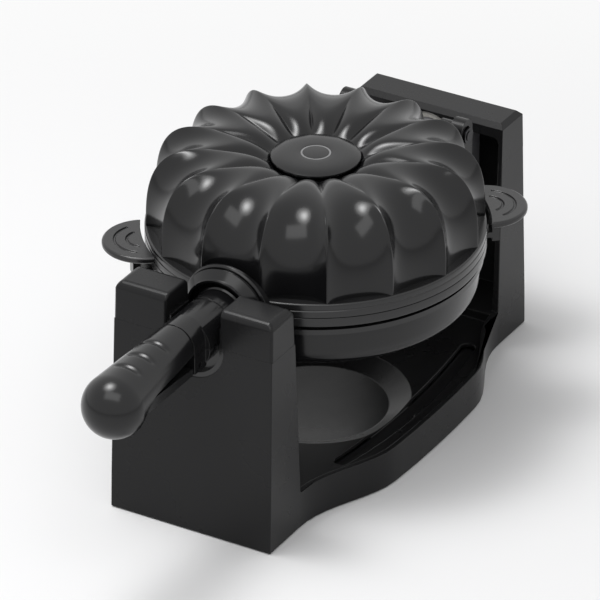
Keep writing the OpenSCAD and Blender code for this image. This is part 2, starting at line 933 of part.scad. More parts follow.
module hinge_bracket() {
  color("#1d1d20") in_head() difference() {
    union() {
      block([-bracket_half, head_r - 2 * ear_r, -bracket_drop], [bracket_half, bracket_back, -over]);
      for (side = [-1, 1]) {
        x0 = side > 0 ? ear_x : -ear_x - ear_t;
        block([x0, head_r - 2 * ear_r, -bracket_drop], [x0 + ear_t, pin_back + ear_r, -low_band_h]);
        block([x0, pin_back - ear_r, -bracket_drop], [x0 + ear_t, pin_back + ear_r, pin_up + float_up]);
        cross_bar(x0, x0 + ear_t, pin_back, pin_up + float_up, ear_r);
      }
    }
    head_envelope();
    for (z = [pin_up, pin_up + float_up]) cross_bar(-head_r, head_r, pin_back, z, pin_r + run_gap);
    block([-head_r, pin_back - pin_r - run_gap, pin_up],
      [head_r, pin_back + pin_r + run_gap, pin_up + float_up]);
  }
}

module hinge_pin() {
  pin_half = bracket_half + 2 * over;
  color("#9a9da0") in_head() cross_bar(-pin_half, pin_half, pin_back, pin_up, pin_r);
}

clip_t = 1.2;

module hinge_clips() {
  color("#77797c") in_head() for (side = [-1, 1]) {
    x = side * (bracket_half + slide_gap + clip_t / 2);
    difference() {
      cross_bar(x - clip_t / 2, x + clip_t / 2, pin_back, pin_up, 2 * pin_r - over);
      cross_bar(x - clip_t, x + clip_t, pin_back, pin_up, pin_r);
    }
  }
}

module lid_arms() {
  arm_x = ear_x - arm_gap - arm_t;
  arm_low = over;
  color("#1d1d20") in_head() for (side = [-1, 1]) {
    x0 = side > 0 ? arm_x : -arm_x - arm_t;
    difference() {
      union() {
        cross_bar(x0, x0 + arm_t, pin_back, pin_up, arm_r);
        translate([x0, 0, 0]) rotate([90, 0, 90]) linear_extrude(arm_t) polygon([
          [head_r - 2 * arm_r, arm_low], [pin_back, arm_low], [pin_back + arm_r, pin_up / 2],
          [pin_back + arm_r, pin_up], [pin_back - arm_r, pin_up], [head_r - 2 * arm_r, lid_band_h]
        ]);
      }
      head_envelope();
      cross_bar(x0 - over, x0 + arm_t + over, pin_back, pin_up, pin_r + run_gap);
    }
  }
}

// Hollow hub at the back that turns in the tower and lets the leads through
hub_flange_r = 23;
hub_flange_t = 4;
hub_wall = 5;
hub_bore_r = hub_r - hub_wall;
hub_out = 4;
hub_end = house_y0 + house_len + hub_out;

module rear_hub() {
  color("#232326") in_head() union() {
    along_back() polygon([
      [hub_bore_r, bracket_back], [hub_flange_r, bracket_back], [hub_flange_r, bracket_back + hub_flange_t],
      [hub_r, bracket_back + hub_flange_t], [hub_r, hub_end], [hub_bore_r, hub_end]
    ]);
    rotate([-90, 0, 0]) translate([0, 0, stop_y0]) rotate([0, 0, -lug_angle / 2])
      rotate_extrude(angle = lug_angle)
      translate([hub_r - over, 0]) square([stop_r - hub_r + over, stop_t - slide_gap]);
  }
}

module hub_clip() {
  color("#77797c") in_head() along_back()
    translate([hub_r, house_y0 + house_len + slide_gap]) square([bush_t, clip_t]);
}

// Screws up through the lower shell's posts that clamp the reflector
shell_screw_count = 4;
shell_screw_in = 14;
shell_screw_r = shell_foot_r - shell_screw_in;

module at_shell_screws() {
  for (i = [0 : shell_screw_count - 1]) rotate([0, 0, 45 + i * 360 / shell_screw_count])
    translate([shell_screw_r, 0, 0]) children();
}

module shell_screw_holes() {
  at_shell_screws() translate([0, 0, -2 * shell_depth])
    cylinder(r = screw_r + screw_play, h = 2 * shell_depth);
}

module shell_screws() {
  color("#8d9093") in_head() at_shell_screws() {
    translate([0, 0, -shell_depth - screw_head_t]) cylinder(r = screw_head_r, h = screw_head_t);
    translate([0, 0, -shell_depth - over])
      cylinder(r = screw_r, h = shell_depth + pan_bottom + sheet_t + 2 * over);
  }
}

// Release ring with two thumb tabs
ring_in = 1.5;
ring_r = head_r - ring_in;
ring_in_r = skirt_r + slide_gap;
ring_drop = 2.4;
ring_top = low_band_h + ring_drop;
ring_bottom = lip_h - slide_gap;
stem_out = 5;
stem_r0 = head_r + stem_out;
stem_t = 4.5;
stem_w = 10;
tab_t = 4;
tab_out = 2.6;
tab_in_r = head_r + tab_out;
tab_top = lid_band_h - over / 2;
arm_drop = 2.5;

module release_ring() {
  color("#232326") in_head() {
    rotate_extrude() translate([ring_in_r, -ring_bottom])
      square([ring_r - ring_in_r, ring_bottom - ring_top]);
    for (a = [tab_angle, tab_angle + 180]) rotate([0, 0, a]) {
      block([ring_in_r + over, -stem_w / 2, -ring_bottom], [stem_r0 + stem_t, stem_w / 2, -ring_top]);
      block([stem_r0, -stem_w / 2, -ring_bottom - arm_drop], [stem_r0 + stem_t, stem_w / 2, tab_top - tab_t]);
    }
  }
}

tab_ridge_w = 1.4;
tab_ridge_cut = 0.8;
tab_ridge_angle = 68;
tab_ridge_shares = [0.36, 0.66];

module thumb_tab() {
  difference() {
    intersection() {
      translate([tab_in_r, 0, tab_top - tab_t]) rotate_extrude() polygon([
        [0, 0], [tab_r - over, 0], [tab_r, over], [tab_r, tab_t - over], [tab_r - over, tab_t], [0, tab_t]
      ]);
      translate([0, 0, tab_top - tab_t - over])
        block([0, -2 * tab_r, 0], [2 * head_r, 2 * tab_r, 2 * tab_t]);
    }
    cylinder(r = tab_in_r, h = 4 * tab_t, center = true);
    cylinder(r = tab_in_r, h = 2 * lid_band_h);
    for (share = tab_ridge_shares) translate([tab_in_r, 0, tab_top]) rotate([0, 0, -tab_ridge_angle])
      rotate_extrude(angle = 2 * tab_ridge_angle)
      translate([share * tab_r, -tab_ridge_cut]) square([tab_ridge_w, 2 * tab_ridge_cut]);
  }
}

module thumb_tabs() {
  color("#232326") in_head() for (a = [tab_angle, tab_angle + 180]) rotate([0, 0, a]) thumb_tab();
}

// Fluted dome. A ridge profile and a lobe profile run from the cap to the foot with one parameter.
// Each has a crown inside crown_r and a superellipse outside it, and the flutes blend from lobe to ridge.
crown_steps = 5;
wall_steps = 10;
lobe_steps = 6;
cap_lap = 2;
dome_in_r = cap_r - cap_lap;
crown_share = 0.6;
crown_r = crown_share * head_r;
ridge_foot_r = head_r - over / 2;
ridge_dip = 11;
ridge_crown_power = 2.5;
ridge_power = 3;
lobe_crown_share = 0.56;
lobe_crown_r = lobe_crown_share * head_r;
lobe_dip = 7.5;
lobe_sink = 1;
lobe_power = 3.1;

function crown(s, r1, top, dip, power) =
  [dome_in_r + (r1 - dome_in_r) * s, top - dip * pow(1 - s, power)];

function wall(s, r0, r1, top, power) = [
  r0 + (r1 - r0) * pow(sin(90 * s), 2 / power),
  lid_band_h + (top - lid_band_h) * pow(max(cos(90 * s), 0), 2 / power)
];

function ridge_at(k) = k < crown_steps
  ? crown(k / crown_steps, crown_r, dome_h, ridge_dip, ridge_crown_power)
  : wall((k - crown_steps) / wall_steps, crown_r, ridge_foot_r, dome_h, ridge_power);

function lobe_at(k) = k < crown_steps
  ? crown(k / crown_steps, lobe_crown_r, dome_h - lobe_sink, lobe_dip, 2)
  : wall((k - crown_steps) / wall_steps, lobe_crown_r, ridge_foot_r - scallop, dome_h - lobe_sink,
      lobe_power);

// Radius and height on the dome, where t runs from -1 to 1 across a lobe, drawn in by a wall
function dome_at(k, t, inset) =
  let (p = lobe_at(k) * (1 - t * t) + ridge_at(k) * t * t)
  [p[0] * (1 - inset / head_r), lid_band_h + (p[1] - lid_band_h) * (1 - inset / (dome_h - lid_band_h))];

function dome_ring(k, inset) = [
  for (i = [0 : lobes * lobe_steps - 1])
    let (
      a = i * 360 / (lobes * lobe_steps),
      t = 2 * ((i % lobe_steps) / lobe_steps) - 1,
      p = dome_at(k, t, inset)
    )
    [p[0] * cos(a - 180 / lobes), p[0] * sin(a - 180 / lobes), p[1]]
];

function ring_faces(n, a, b) = [
  for (i = [0 : n - 1], half = [0, 1])
    let (j = (i + 1) % n)
    half == 0 ? [a * n + i, b * n + i, b * n + j] : [a * n + i, b * n + j, a * n + j]
];

module dome_cover() {
  n = lobes * lobe_steps;
  last = crown_steps + wall_steps;
  rows = last + 1;
  points = concat(
    [for (k = [0 : last]) each dome_ring(k, 0)],
    [for (k = [last : -1 : 0]) each dome_ring(k, dome_wall)]
  );
  faces = [for (k = [0 : 2 * rows - 1]) each ring_faces(n, k, (k + 1) % (2 * rows))];
  color("#141416") in_head() polyhedron(points = points, faces = faces, convexity = 6);
}

module upper_band() {
  color("#1d1d20") in_head() rotate_extrude() polygon([
    [seat_r, part_gap / 2], [head_r - over / 2, part_gap / 2], [head_r, part_gap / 2 + over / 2],
    [head_r, lid_band_h - over], [head_r - over, lid_band_h], [ledge_r, lid_band_h],
    [ledge_r, plate_rim_t + part_gap], [seat_r, plate_rim_t + part_gap]
  ]);
}

// Round cap with an inlaid ring
cap_sink = 4.2;
cap_top = dome_h - cap_sink;
cap_t = 3.1;
cap_round = 1.5;
inlay_r = 9;
inlay_w = 1.3;
inlay_t = 0.8;

module top_cap() {
  spigot_r = dome_in_r * (1 - dome_wall / head_r) - part_gap;
  color("#1a1a1c") in_head() rotate_extrude() polygon([
    [0, cap_top - cap_t - 2 * dome_wall], [spigot_r, cap_top - cap_t - 2 * dome_wall],
    [spigot_r, cap_top - cap_t],
    [cap_r - cap_round / 2, cap_top - cap_t], [cap_r, cap_top - cap_t + cap_round / 2],
    [cap_r, cap_top - cap_round], [cap_r - cap_round, cap_top],
    [inlay_r, cap_top], [inlay_r, cap_top - inlay_t], [inlay_r - inlay_w, cap_top - inlay_t],
    [inlay_r - inlay_w, cap_top], [0, cap_top]
  ]);
}

module ring_inlay() {
  color("#a8abad") in_head() rotate_extrude() translate([inlay_r - inlay_w, cap_top - inlay_t])
    square([inlay_w, inlay_t]);
}

module upper_plate() {
  color("#3a3a3c") in_head() mirror([0, 0, 1]) waffle_plate();
}

module upper_element() {
  color("#6d6a66") in_head() mirror([0, 0, 1]) heating_element();
}

module upper_reflector() {
  color("#b9bbbd") in_head() mirror([0, 0, 1]) reflector(seat_r - part_gap, -lid_band_h);
}

thermostat_r = 8;
thermostat_t = 6;
thermostat_x = 25;

module thermostat() {
  color("#c7c2b6") in_head() translate([thermostat_x, 0, plate_depth + plate_t]) {
    cylinder(r = thermostat_r, h = thermostat_t);
    translate([0, 0, thermostat_t]) cylinder(r = thermostat_r / 2, h = thermostat_t / 3);
  }
}

base_shell();
front_cap_left();
front_cap_right();
tower_cap();
bottom_cover();
rubber_feet();
base_screws();
front_saddle();
bearing_housing();
rear_bush();
flip_stop();
cord_gland();
terminal_block();
lower_shell();
lower_band();
lower_plate();
lower_element();
lower_reflector();
collar_lower();
neck_lower();
lever_pin();
hinge_bracket();
rear_hub();
hub_clip();
shell_screws();
release_ring();
thumb_tabs();
hinge_pin();
hinge_clips();
dome_cover();
upper_band();
top_cap();
ring_inlay();
upper_plate();
upper_element();
upper_reflector();
thermostat();
collar_upper();
neck_upper();
upper_grip();
grip_screw();
lid_arms();
lever();
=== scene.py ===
"""Looks for the rotating waffle maker: fluted black head, collar and grip, satin base, studio stage.

Every piece is worked out in metres in the CAD frame. The front is -Y, the right is +X.
"""

import json
import math

import bmesh
import bpy
import numpy as np
from bpy.props import FloatProperty, FloatVectorProperty, IntProperty, PointerProperty
from mathutils import Matrix, Vector

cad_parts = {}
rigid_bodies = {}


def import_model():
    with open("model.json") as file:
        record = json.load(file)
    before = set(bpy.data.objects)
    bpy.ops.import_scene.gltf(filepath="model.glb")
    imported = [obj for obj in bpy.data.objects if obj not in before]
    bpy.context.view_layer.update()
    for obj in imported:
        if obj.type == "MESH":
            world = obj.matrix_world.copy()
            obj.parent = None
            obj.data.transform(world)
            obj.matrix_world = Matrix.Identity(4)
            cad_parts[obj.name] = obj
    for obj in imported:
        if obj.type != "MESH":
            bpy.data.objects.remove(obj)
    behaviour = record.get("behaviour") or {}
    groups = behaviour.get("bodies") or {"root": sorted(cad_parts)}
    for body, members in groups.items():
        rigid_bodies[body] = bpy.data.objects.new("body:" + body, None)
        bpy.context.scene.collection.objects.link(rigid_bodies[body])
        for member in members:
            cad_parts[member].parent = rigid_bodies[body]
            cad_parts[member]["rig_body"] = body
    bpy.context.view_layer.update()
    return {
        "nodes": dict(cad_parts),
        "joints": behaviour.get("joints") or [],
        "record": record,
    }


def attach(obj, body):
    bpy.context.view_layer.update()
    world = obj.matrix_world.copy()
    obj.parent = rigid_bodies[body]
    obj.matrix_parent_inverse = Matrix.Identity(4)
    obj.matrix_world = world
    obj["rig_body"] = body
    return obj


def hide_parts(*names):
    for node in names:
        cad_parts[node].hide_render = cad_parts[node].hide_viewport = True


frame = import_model()

bl_info = {
    "name": "Rotating waffle maker",
    "version": (1, 0, 0),
    "blender": (4, 2, 0),
    "location": "View3D > Sidebar > Waffle maker",
    "description": "Builds the looks of a rotating waffle maker over its CAD frame",
    "category": "Add Mesh",
}

MM = 0.001
HEAD = np.array(next(joint["pos_m"] for joint in frame["joints"] if joint["name"] == "head_flip"), float)

# Where points of a mesh count as one, in metres, and faces as one plane, in degrees
MERGE_NEW = 1e-7
MERGE_CAD = 3e-6
SHORTEST_EDGE = 1e-8
SAME_PLANE = 0.6

# Heights in mm, from the flip axis, that the pieces of the head share
BAND_TOP = 9.0
BAND_FOOT = -6.0
CAP_TOP = 54.1
SHELL_TOP = -12.0
SHELL_FOOT = -37.4

# Radii in mm that the pieces of the head share
RIM_R = 100.0
SEAT_R = 89.1
LEDGE_R = 85.8


# Sizes and colours that a user would change

class WaffleSizes(bpy.types.PropertyGroup):
    """Sizes of the head, the grip and the rounding of edges."""

    head_radius: FloatProperty(
        name="Head radius", description="Radius of the head over its bands", default=0.1, unit="LENGTH")
    dome_height: FloatProperty(
        name="Dome height", description="Height of the dome's ridges over the flip axis", default=0.0583,
        unit="LENGTH")
    dome_scallop: FloatProperty(
        name="Scallop", description="How far a lobe's middle is drawn in at its foot", default=0.0055,
        unit="LENGTH")
    lobe_count: IntProperty(name="Lobes", description="Lobes around the dome", default=16)
    crease_round: FloatProperty(
        name="Crease rounding", description="Share of half a lobe over which a crease is rounded",
        default=0.02)
    grip_ball: FloatProperty(
        name="Ball radius", description="Radius of the grip's ball end", default=0.0191, unit="LENGTH")
    edge_round: FloatProperty(
        name="Edge rounding", description="Rounding of the base's moulded edges", default=0.0016,
        unit="LENGTH")


class WaffleColours(bpy.types.PropertyGroup):
    """Colours of the finishes."""

    gloss_black: FloatVectorProperty(
        name="Gloss black", description="Colour of the polished mouldings", subtype="COLOR", size=3,
        default=(0.006, 0.006, 0.0065))
    satin_black: FloatVectorProperty(
        name="Satin black", description="Colour of the satin mouldings", subtype="COLOR", size=3,
        default=(0.0115, 0.0115, 0.012))
    floor_grey: FloatVectorProperty(
        name="Floor", description="Colour of the studio floor", subtype="COLOR", size=3,
        default=(0.9, 0.9, 0.905))


# Meshes from numbers

def new_piece(name, points, faces, smooth_angle=40):
    """Makes a mesh object at the origin from points in metres and faces, shaded smooth below an angle."""
    mesh = bpy.data.meshes.new(name)
    mesh.from_pydata(points.tolist(), [], faces)
    mesh.validate()
    shell = bmesh.new()
    shell.from_mesh(mesh)
    bmesh.ops.remove_doubles(shell, verts=shell.verts, dist=MERGE_NEW)
    bmesh.ops.dissolve_degenerate(shell, edges=shell.edges, dist=SHORTEST_EDGE)
    bmesh.ops.recalc_face_normals(shell, faces=shell.faces)
    shell.to_mesh(mesh)
    shell.free()
    mesh.shade_smooth()
    mesh.set_sharp_from_angle(angle=math.radians(smooth_angle))
    piece = bpy.data.objects.new(name, mesh)
    bpy.context.scene.collection.objects.link(piece)
    return piece


def quads(rows, columns, ring_rows=True):
    """Faces of a grid of points: each row is a closed ring, and the rows close too unless told not to."""
    i = np.arange(rows if ring_rows else rows - 1)[:, None]
    j = np.arange(columns)[None, :]
    i2, j2 = (i + 1) % rows, (j + 1) % columns
    corners = [i * columns + j, i * columns + j2, i2 * columns + j2, i2 * columns + j]
    return np.stack([np.broadcast_to(c, (i.size, j.size)) for c in corners], -1).reshape(-1, 4).tolist()


# Share of a profile's side that one rounded corner may take
MOST_OF_SIDE = 0.49


def rounded(profile, steps=4):
    """Rounds the corners of a closed profile of (u, v, radius) by quadratic curves tangent to both sides."""
    points = []
    count = len(profile)
    for k, (u, v, radius) in enumerate(profile):
        here = np.array([u, v], float)
        if radius <= 0:
            points.append(here)
            continue
        before = np.array(profile[k - 1][:2], float) - here
        after = np.array(profile[(k + 1) % count][:2], float) - here
        a, b = before / np.linalg.norm(before), after / np.linalg.norm(after)
        half = math.acos(np.clip(a @ b, -1, 1)) / 2
        longest = MOST_OF_SIDE * min(np.linalg.norm(before), np.linalg.norm(after))
        cut = min(radius / math.tan(half), longest)
        share = np.linspace(0, 1, steps + 1)[:, None]
        start, end = here + a * cut, here + b * cut
        points.extend((1 - share) ** 2 * start + 2 * share * (1 - share) * here + share ** 2 * end)
    return np.array(points)


def turned(name, profile, segments=160):
    """Turns a closed profile of (radius, height, corner radius) in mm about the head's upright axis.

    A point lies at (r cos a, r sin a, h) from the head's middle, where a runs once around.
    """
    section = rounded(profile) * MM
    angles = np.radians(np.linspace(0, 360, segments, endpoint=False))
    r, h = section[None, :, 0], section[None, :, 1]
    across, along = r * np.cos(angles)[:, None], r * np.sin(angles)[:, None]
    points = np.stack([across, along, np.broadcast_to(h, across.shape)], -1)
    return new_piece(name, points.reshape(-1, 3) + HEAD, quads(len(angles), len(section)))


def carried(name, sections, smooth_angle):
    """A profile carried along a path and closed at both ends.

    sections is an array of (step along the path, point of the profile, xyz) in metres.
    """
    steps, around = sections.shape[:2]
    last = (steps - 1) * around
    ends = [list(range(around)), [last + k for k in range(around)]]
    return new_piece(name, sections.reshape(-1, 3), quads(steps, around, False) + ends, smooth_angle)


# How near a fine height an edge lies, in mm, and how much of the rounding it then gets
FINE_REACH = 0.4
FINE_WEIGHT = 0.12


def softened(node, width, segments=2, angle=28, fine=(), clamp=True):
    """A copy of a CAD node with its doubled points merged, its flat faces whole and its edges rounded.

    Edges sharper than the angle are rounded, and smoother ones are shaded as one surface. An edge that lies
    level at one of the fine heights, in mm, is hardly rounded.
    """
    source = frame["nodes"][node]
    mesh = source.data.copy()
    mesh.materials.clear()
    shell = bmesh.new()
    shell.from_mesh(mesh)
    bmesh.ops.remove_doubles(shell, verts=shell.verts, dist=MERGE_CAD)
    bmesh.ops.dissolve_limit(
        shell, angle_limit=math.radians(SAME_PLANE), use_dissolve_boundaries=False,
        verts=shell.verts, edges=shell.edges)
    weight = shell.edges.layers.float.new("bevel_weight_edge")
    for edge in shell.edges:
        if len(edge.link_faces) == 2 and edge.calc_face_angle() > math.radians(angle):
            heights = [corner.co.z / MM for corner in edge.verts]
            is_fine = any(max(abs(h - level) for h in heights) < FINE_REACH for level in fine)
            edge[weight] = FINE_WEIGHT if is_fine else 1.0
    shell.to_mesh(mesh)
    shell.free()
    for name in [a.name for a in mesh.attributes if a.name.startswith("custom_normal")]:
        mesh.attributes.remove(mesh.attributes[name])
    mesh.shade_smooth()
    mesh.set_sharp_from_angle(angle=math.radians(angle))
    piece = bpy.data.objects.new(node + "_moulded", mesh)
    bpy.context.scene.collection.objects.link(piece)
    bevel = piece.modifiers.new("edge_round", "BEVEL")
    bevel.width = width
    bevel.segments = segments
    bevel.limit_method = "WEIGHT"
    bevel.use_clamp_overlap = clamp
    flat = piece.modifiers.new("flat_faces", "WEIGHTED_NORMAL")
    flat.keep_sharp = True
    return piece


# Finishes

# Noise hardly leaves this range, so it is what gets spread
NOISE_LOW, NOISE_HIGH = 0.3, 0.7
PLASTIC_IOR = 1.5


def finish_nodes(name):
    """A new material with its node tree and its Principled shader, or a finished one with neither."""
    material = bpy.data.materials.get(name)
    if material:
        return material, None, None
    material = bpy.data.materials.new(name)
    material.use_nodes = True
    tree = material.node_tree
    return material, tree, tree.nodes["Principled BSDF"]


def object_noise(tree, scale, detail):
    """Noise read from Object coordinates, in patterns per metre."""
    place = tree.nodes.new("ShaderNodeTexCoord")
    noise = tree.nodes.new("ShaderNodeTexNoise")
    noise.inputs["Scale"].default_value = scale
    noise.inputs["Detail"].default_value = detail
    noise.inputs["Roughness"].default_value = 0.55
    tree.links.new(place.outputs["Object"], noise.inputs["Vector"])
    return noise.outputs["Fac"]


def ranged(tree, value, low, high):
    """Spreads the middle of a noise over a range."""
    spread = tree.nodes.new("ShaderNodeMapRange")
    spread.inputs["From Min"].default_value = NOISE_LOW
    spread.inputs["From Max"].default_value = NOISE_HIGH
    spread.inputs["To Min"].default_value = low
    spread.inputs["To Max"].default_value = high
    tree.links.new(value, spread.inputs["Value"])
    return spread.outputs["Result"]


def bumped(tree, shader, value, strength, distance):
    """Raises the surface by a pattern, at most by a distance in metres."""
    bump = tree.nodes.new("ShaderNodeBump")
    bump.inputs["Strength"].default_value = strength
    bump.inputs["Distance"].default_value = distance
    tree.links.new(value, bump.inputs["Height"])
    tree.links.new(bump.outputs["Normal"], shader.inputs["Normal"])


def moulded_plastic(name, colour, roughness, spread, grain, grain_height=0.01 * MM, level=0.5):
    """Injection-moulded plastic: a soft drift of roughness over a fine grain.

    The roughness drifts by the spread either way. The grain is in patterns per metre with its height in
    metres. The level sets how strongly the surface mirrors, 0.5 being plain plastic.
    """
    material, tree, shader = finish_nodes(name)
    if tree is None:
        return material
    shader.inputs["Base Color"].default_value = (*colour, 1)
    shader.inputs["IOR"].default_value = PLASTIC_IOR
    shader.inputs["Specular IOR Level"].default_value = level
    drift = object_noise(tree, scale=22, detail=4)
    tree.links.new(ranged(tree, drift, roughness - spread, roughness + spread), shader.inputs["Roughness"])
    bumped(tree, shader, object_noise(tree, grain, detail=2), strength=0.35, distance=grain_height)
    return material


def gloss_black():
    """Polished dome, cap, collar, neck and lower shell."""
    colour = bpy.context.scene.waffle_colours.gloss_black
    return moulded_plastic("gloss_black_plastic", colour, roughness=0.17, spread=0.02, grain=160, level=0.38)


def grip_black():
    """Grip, a little duller than the dome."""
    colour = bpy.context.scene.waffle_colours.gloss_black
    return moulded_plastic("grip_black_plastic", colour, roughness=0.2, spread=0.02, grain=1800, level=0.4)


def satin_black():
    """Base mouldings, hinge bracket and lid arms."""
    colour = bpy.context.scene.waffle_colours.satin_black
    return moulded_plastic("satin_black_plastic", colour, roughness=0.28, spread=0.03, grain=2600, level=0.2)


def band_black():
    """Bands, release ring, thumb tabs, lever and saddle."""
    colour = bpy.context.scene.waffle_colours.satin_black
    return moulded_plastic("band_black_plastic", colour, roughness=0.24, spread=0.03, grain=2200)


def dark_plastic():
    """Bottom cover, bearing housing, flip stop and rear hub."""
    return moulded_plastic(
        "dark_plastic", (0.014, 0.014, 0.015), roughness=0.5, spread=0.05, grain=2000, grain_height=0.02 * MM)


def pale_nylon():
    """Rear bush, terminal block and thermostat."""
    return moulded_plastic(
        "pale_nylon", (0.60, 0.57, 0.48), roughness=0.45, spread=0.05, grain=1500, grain_height=0.02 * MM)


def foot_rubber():
    """Feet and cord gland."""
    return moulded_plastic(
        "foot_rubber", (0.008, 0.008, 0.008), roughness=0.75, spread=0.06, grain=3000, grain_height=0.04 * MM)


def metal(name, colour, roughness, spread, scale, squeeze=(1, 1, 8)):
    """Metal with streaks in its roughness: a noise in patterns per metre, squeezed along an axis."""
    material, tree, shader = finish_nodes(name)
    if tree is None:
        return material
    shader.inputs["Base Color"].default_value = (*colour, 1)
    shader.inputs["Metallic"].default_value = 1.0
    place = tree.nodes.new("ShaderNodeTexCoord")
    squeezed = tree.nodes.new("ShaderNodeMapping")
    squeezed.inputs["Scale"].default_value = squeeze
    noise = tree.nodes.new("ShaderNodeTexNoise")
    noise.inputs["Scale"].default_value = scale
    noise.inputs["Detail"].default_value = 4
    tree.links.new(place.outputs["Object"], squeezed.inputs["Vector"])
    tree.links.new(squeezed.outputs["Vector"], noise.inputs["Vector"])
    tree.links.new(ranged(tree, noise.outputs["Fac"], roughness - spread, roughness + spread),
                   shader.inputs["Roughness"])
    bumped(tree, shader, noise.outputs["Fac"], strength=0.2, distance=0.02 * MM)
    return material


def plated_steel():
    """Screws and the hub's clip."""
    return metal("plated_steel", (0.42, 0.43, 0.44), roughness=0.32, spread=0.08, scale=300)


def dull_steel():
    """Inlaid ring of the cap."""
    return metal("dull_steel", (0.27, 0.27, 0.275), roughness=0.4, spread=0.06, scale=300)


def blackened_steel():
    """Hinge pin with its clips, and the lever's pin."""
    return metal("blackened_steel", (0.028, 0.028, 0.03), roughness=0.35, spread=0.06, scale=300)


def element_steel():
    """Heating tubes."""
    return metal(
        "element_steel", (0.20, 0.185, 0.17), roughness=0.48, spread=0.1, scale=500, squeeze=(1, 1, 1))


def bright_sheet():
    """Reflectors behind the heating tubes."""
    return metal("bright_sheet", (0.66, 0.67, 0.68), roughness=0.3, spread=0.08, scale=180, squeeze=(1, 9, 1))


def coated_plate():
    """Cast plate under a dark non-stick coat with a fine fleck."""
    material, tree, shader = finish_nodes("coated_plate")
    if tree is None:
        return material
    shader.inputs["Base Color"].default_value = (0.014, 0.014, 0.015, 1)
    shader.inputs["Specular IOR Level"].default_value = 0.4
    fleck = object_noise(tree, scale=900, detail=2)
    tree.links.new(ranged(tree, fleck, low=0.32, high=0.5), shader.inputs["Roughness"])
    bumped(tree, shader, object_noise(tree, scale=1400, detail=3), strength=0.3, distance=0.03 * MM)
    return material


def place_piece(piece, body, slot, material, *nodes):
    """Gives a piece its finish and its body, and hides the CAD nodes that it stands for. The slot is not used.
    """
    piece.data.materials.append(material)
    if nodes:
        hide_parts(*nodes)
    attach(piece, body)
    return piece


# The head

# A profile's crown ends at a share of the head's radius. It dips towards the cap by so many mm and by a
# power, and the wall outside it is a superellipse of its own power.
RIDGE = {"crown_share": 0.66, "dip": 10.0, "dip_power": 1.5, "wall_power": 3.0}
LOBE = {"crown_share": 0.50, "dip": 11.0, "dip_power": 2.2, "wall_power": 2.4}

# Radius of the dome's hole in mm, share of the crown that stays clear of it, and how far the foot stays inside
# the rim in mm
DOME_HOLE_R = 24.0
DOME_START = 0.075
FOOT_INSET = 0.5

# Share of the square in the blend from lobe to ridge; the fourth power has the rest
SQUARE_SHARE = 0.65

# The dome's inside, as shares of the outside's radius and of its height over the band
INSIDE_R = 0.976
INSIDE_H = 0.951


def dome_profiles(sizes):
    """Ridge and lobe profiles of (radius, height) in mm from the cap to the foot.

    With s from 0 at the hole to 1 at the crown's edge, the crown's height is top - dip (1 - s)^power. With q
    from 0 to 90 degrees, the wall goes out by sin(q)^(2 / power) and down by cos(q)^(2 / power).
    """
    head, top = sizes.head_radius / MM, sizes.dome_height / MM
    foot = head - FOOT_INSET
    s = np.linspace(DOME_START, 1, 25)
    q = np.radians(90 * np.linspace(0, 1, 65)[1:])

    def profile(foot_r, crown_share, dip, dip_power, wall_power):
        crown_r = crown_share * head
        crown = np.stack([DOME_HOLE_R + (crown_r - DOME_HOLE_R) * s, top - dip * (1 - s) ** dip_power], -1)
        wall = np.stack([
            crown_r + (foot_r - crown_r) * np.sin(q) ** (2 / wall_power),
            BAND_TOP + (top - BAND_TOP) * np.clip(np.cos(q), 0, 1) ** (2 / wall_power)], -1)
        return np.concatenate([crown, wall])

    return profile(foot, **RIDGE), profile(foot - sizes.dome_scallop / MM, **LOBE)


class WAFFLE_OT_dome(bpy.types.Operator):
    """Fluted dome: the lobe's profile blended into the ridge's across each lobe.

    With t from 0 in a lobe's middle to 1 at its crease, the ridge's weight is 0.65 t^2 + 0.35 t^4. A term in
    exp((t - 1) / d) takes away its slope at the crease, so that the crease is rounded. Points lie closer
    together towards the creases.
    """

    bl_idname = "waffle.dome"
    bl_label = "Fluted dome"

    def execute(self, context):
        sizes = context.scene.waffle_sizes
        ridge, lobe = dome_profiles(sizes)
        lobes, per_lobe = sizes.lobe_count, 24
        place = np.arange(lobes * per_lobe)
        across = 2 * (place % per_lobe) / per_lobe - 1
        t = 1 - (1 - np.abs(across)) ** 2
        angle = (2 * (place // per_lobe) + np.sign(across) * t) * np.pi / lobes
        d = sizes.crease_round
        fourth_share = 1 - SQUARE_SHARE
        slope = 2 * SQUARE_SHARE + 4 * fourth_share
        weight = SQUARE_SHARE * t ** 2 + fourth_share * t ** 4 - slope * d * np.exp((t - 1) / d)
        weight = weight[None, :, None]
        outer = lobe[:, None, :] * (1 - weight) + ridge[:, None, :] * weight
        inner = np.stack([outer[..., 0] * INSIDE_R, BAND_TOP + (outer[..., 1] - BAND_TOP) * INSIDE_H], -1)
        rz = np.concatenate([outer, inner[::-1]]) * MM
        points = np.stack([rz[..., 0] * np.cos(angle), rz[..., 0] * np.sin(angle), rz[..., 1]], -1)
        faces = quads(*points.shape[:2])
        piece = new_piece("fluted_dome", points.reshape(-1, 3) + HEAD, faces, smooth_angle=55)
        place_piece(piece, "lid", "gloss_black", gloss_black(), "dome_cover")
        return {"FINISHED"}


